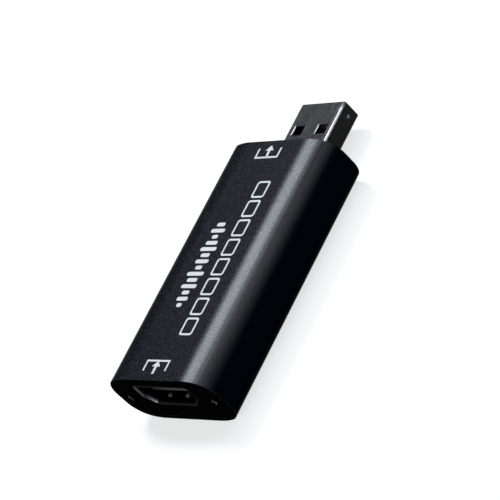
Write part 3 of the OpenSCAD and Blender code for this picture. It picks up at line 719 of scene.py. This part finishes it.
def sleeve_finish():
    """Blasted black: a blue-black dye, with pale grains on the level faces that are painted glints of light
    caught by the blast, under a hard oxide whose gloss the grain breaks up; the gloss fades out on the
    upright sides, which paints them dark as shade."""
    material, tree, surface = shader("black_anodised")
    blast = effect(tree, GRAIN, Size=0.24, Contrast=4.0)
    marks = effect(tree, HANDLING, Size=9.0)
    # Painted shade: the coat's gloss is kept to faces that look up and fades out on the upright sides, so the
    # sides stay dark.
    upward = rise(tree, facing(tree, "Z"), 0.30, 0.86)
    gloss_kept_off_sides = calculate(tree, "POWER", upward, 2.3)
    # The dye's pale end, on the level faces only, is painted glints, as of blast grains catching the light
    # overhead.
    level = rise(tree, facing(tree, "Z"), 0.93, 0.995)
    painted_glints = calculate(tree, "MULTIPLY", level, effect(tree, GLINT_GRAINS, Size=0.22))
    dye = tint(tree, painted_glints, (0.0014, 0.0017, 0.0044), (0.032, 0.033, 0.039))
    # The pale rub on the edges, the chamfered rims of the mouths, is partly wear and partly a painted
    # highlight: the light line along the rims.
    rubbed = effect(tree, EDGE_RUB, Width=0.12, Reach=0.8)
    feed(tree, surface, Base_Color=tint(tree, rubbed, dye, (0.16, 0.15, 0.145)))
    grit = calculate(tree, "MULTIPLY", calculate(tree, "ADD", blast, marks), 0.5)
    feed(tree, surface, Roughness=between(tree, grit, 0.14, 0.36))
    gloss = calculate(tree, "MULTIPLY", gloss_kept_off_sides, between(tree, blast, 0.226, 0.138))
    feed(tree, surface, Coat_Weight=gloss)
    fix(surface, Coat_Roughness=0.23, Coat_IOR=1.76, Specular_IOR_Level=0.0)
    raise_surface(tree, surface, blast, 0.003)
    return material


def sawn_finish():
    """The black of the sleeve's sawn ends and of the end plates, which aren't blasted."""
    material, tree, surface = shader("black_plate")
    speckle = effect(tree, GRAIN, Size=0.2, Contrast=2.0)
    marks = effect(tree, HANDLING, Size=5.0)
    dye = tint(tree, speckle, (0.0012, 0.0012, 0.0014), (0.0032, 0.0032, 0.0037))
    rubbed = effect(tree, EDGE_RUB, Width=0.08, Reach=0.3)
    feed(tree, surface, Base_Color=tint(tree, rubbed, dye, (0.03, 0.03, 0.033)))
    feed(tree, surface, Roughness=between(tree, marks, 0.36, 0.5))
    fix(surface, Specular_IOR_Level=0.0)
    raise_surface(tree, surface, speckle, 0.003)
    return material


SAWN_BLACK = sawn_finish()
sleeve = add_piece("sleeve_tube", build_sleeve, sleeve_finish())
sleeve.data.materials.append(SAWN_BLACK)
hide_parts("sleeve")

# The print on the sleeve's top: white ink pulled through a screen, two hundredths of a millimetre thick.
# Plain signs only: level bars and a strip of picture frames along the middle, and at the ends an arrow into
# a tray and one out of it.
INK_T = 0.02 * MM
INK_Z = SLEEVE_HIGH.z
BAR_MIDDLE_X = -3.0
BAR_START_Y = -17.6
BAR_PITCH = 1.42
BAR_W = 0.86
BAR_ROUND = BAR_W / 2.2
BAR_HALF = (0.7, 1.5, 1.0, 2.1, 1.4, 2.3, 0.9, 1.8, 1.2, 2.2, 1.6, 0.8, 1.9, 1.1)
FRAME_MIDDLE_X = 2.95
FRAME_START_Y = -24.3
FRAME_COUNT = 8
FRAME_PITCH = 4.46
FRAME_L = 3.9
FRAME_H = 3.5
FRAME_LINE = 0.42
FRAME_ROUND = 0.6
FRAME_ROUND_IN = 0.3
ROUND_STEPS = 5
INPUT_SIGN_Y = -31.0
OUTPUT_SIGN_Y = 17.6
SIGN_X = -0.4
TRAY_W = 6.4
TRAY_H = 2.4
TRAY_LINE = 0.4
# An arrow's half widths, its tail, neck and tip along +Y, and its place in a tray that it enters or leaves
SHAFT_HALF = 0.3
HEAD_HALF = 1.1
ARROW_TAIL = -1.5
ARROW_NECK = 0.1
ARROW_TIP = 1.3
ARROW_ENTERS = -0.35
ARROW_LEAVES = 0.55


def rounded_box(x, y, width, length, radius):
    """Closed outline of a box with round corners about a point, in millimetres."""
    points = []
    for k, (sx, sy) in enumerate(((1, 1), (-1, 1), (-1, -1), (1, -1))):
        cx = x + sx * (width / 2 - radius)
        cy = y + sy * (length / 2 - radius)
        for i in range(ROUND_STEPS + 1):
            turn = math.radians(90 * (k + i / ROUND_STEPS))
            points.append((cx + radius * math.cos(turn), cy + radius * math.sin(turn)))
    return points


def ink_edge(shape, outline):
    """The points of an outline in millimetres, on the sleeve and on the ink's top."""
    return [[shape.verts.new((x * MM, y * MM, INK_Z + z)) for x, y in outline] for z in (0, INK_T)]


def ink_patch(shape, outline, hole=None):
    """A patch of ink from an outline, with a hole that has as many points where one is given."""
    low, high = ink_edge(shape, outline)
    loops = [(low, high)]
    if hole:
        low_in, high_in = ink_edge(shape, hole)
        loops.append((low_in, high_in))
        for outer, inner in ((low, low_in), (high, high_in)):
            for i in range(len(outer)):
                shape.faces.new((outer[i - 1], outer[i], inner[i], inner[i - 1]))
    else:
        shape.faces.new(low)
        shape.faces.new(high)
    for below, above in loops:
        for i in range(len(below)):
            shape.faces.new((below[i - 1], below[i], above[i], above[i - 1]))


def build_levels(shape):
    for i, half in enumerate(BAR_HALF):
        y = BAR_START_Y + i * BAR_PITCH
        ink_patch(shape, rounded_box(BAR_MIDDLE_X, y, 2 * half, BAR_W, BAR_ROUND))


def build_frames(shape):
    hole_h = FRAME_H - 2 * FRAME_LINE
    hole_l = FRAME_L - 2 * FRAME_LINE
    for i in range(FRAME_COUNT):
        y = FRAME_START_Y + FRAME_L / 2 + i * FRAME_PITCH
        outer = rounded_box(FRAME_MIDDLE_X, y, FRAME_H, FRAME_L, FRAME_ROUND)
        inner = rounded_box(FRAME_MIDDLE_X, y, hole_h, hole_l, FRAME_ROUND_IN)
        ink_patch(shape, outer, inner)


def tray_and_arrow(shape, y, leaves):
    """A tray that opens towards the stick's end, and an arrow along +Y that enters it or leaves it."""
    w, h, line = TRAY_W / 2, TRAY_H / 2, TRAY_LINE
    way = 1 if leaves else -1
    tray = [(-w, h), (-w, -h), (w, -h), (w, h),
            (w - line, h), (w - line, line - h), (line - w, line - h), (line - w, h)]
    ink_patch(shape, [(x + SIGN_X, y + way * v) for x, v in tray])
    arrow = [(-SHAFT_HALF, ARROW_TAIL), (SHAFT_HALF, ARROW_TAIL), (SHAFT_HALF, ARROW_NECK),
             (HEAD_HALF, ARROW_NECK), (0, ARROW_TIP), (-HEAD_HALF, ARROW_NECK), (-SHAFT_HALF, ARROW_NECK)]
    shift = ARROW_LEAVES if leaves else ARROW_ENTERS
    ink_patch(shape, [(x + SIGN_X, y + v + shift) for x, v in arrow])


def ink_finish():
    material, tree, surface = shader("white_ink")
    speckle = effect(tree, GRAIN, Size=0.25, Contrast=2.0)
    feed(tree, surface, Base_Color=tint(tree, speckle, (0.52, 0.52, 0.53), (0.68, 0.68, 0.68)))
    feed(tree, surface, Roughness=between(tree, speckle, 0.45, 0.65))
    fix(surface, Specular_IOR_Level=0.3)
    raise_surface(tree, surface, speckle, 0.004)
    return material


INK = ink_finish()
add_piece("print_levels", build_levels, INK)
add_piece("print_frames", build_frames, INK)
add_piece("print_input", lambda shape: tray_and_arrow(shape, INPUT_SIGN_Y, False), INK)
add_piece("print_output", lambda shape: tray_and_arrow(shape, OUTPUT_SIGN_Y, True), INK)


# The end plates: flat aluminium blanks that close the sleeve's mouths, punched for the connectors and
# countersunk for the screws, anodised black like the sleeve's sawn ends.
PLATE_EDGE_ROUND = 0.05
dress(SAWN_BLACK, "input_plate", "output_plate")
for plate in ("input_plate", "output_plate"):
    soften(plate, PLATE_EDGE_ROUND)


# The four screws: small steel screws with flat heads and cross recesses, blackened.
# The driver has worn the black off inside the recesses, which show bare steel.
def screw_finish():
    material, tree, surface = shader("dark_steel")
    speckle = effect(tree, GRAIN, Size=0.15, Contrast=2.0)
    bare = rise(tree, facing(tree, "Y"), 0.9, 0.6)
    black = tint(tree, speckle, (0.001, 0.001, 0.001), (0.004, 0.004, 0.004))
    feed(tree, surface, Base_Color=tint(tree, bare, black, (0.8, 0.8, 0.8)))
    feed(tree, surface, Roughness=between(tree, speckle, 0.25, 0.42))
    fix(surface, Metallic=1.0, Specular_Tint=(0.2, 0.2, 0.2, 1))
    raise_surface(tree, surface, speckle, 0.003)
    dress(material, "input_screws", "output_screws")


screw_finish()
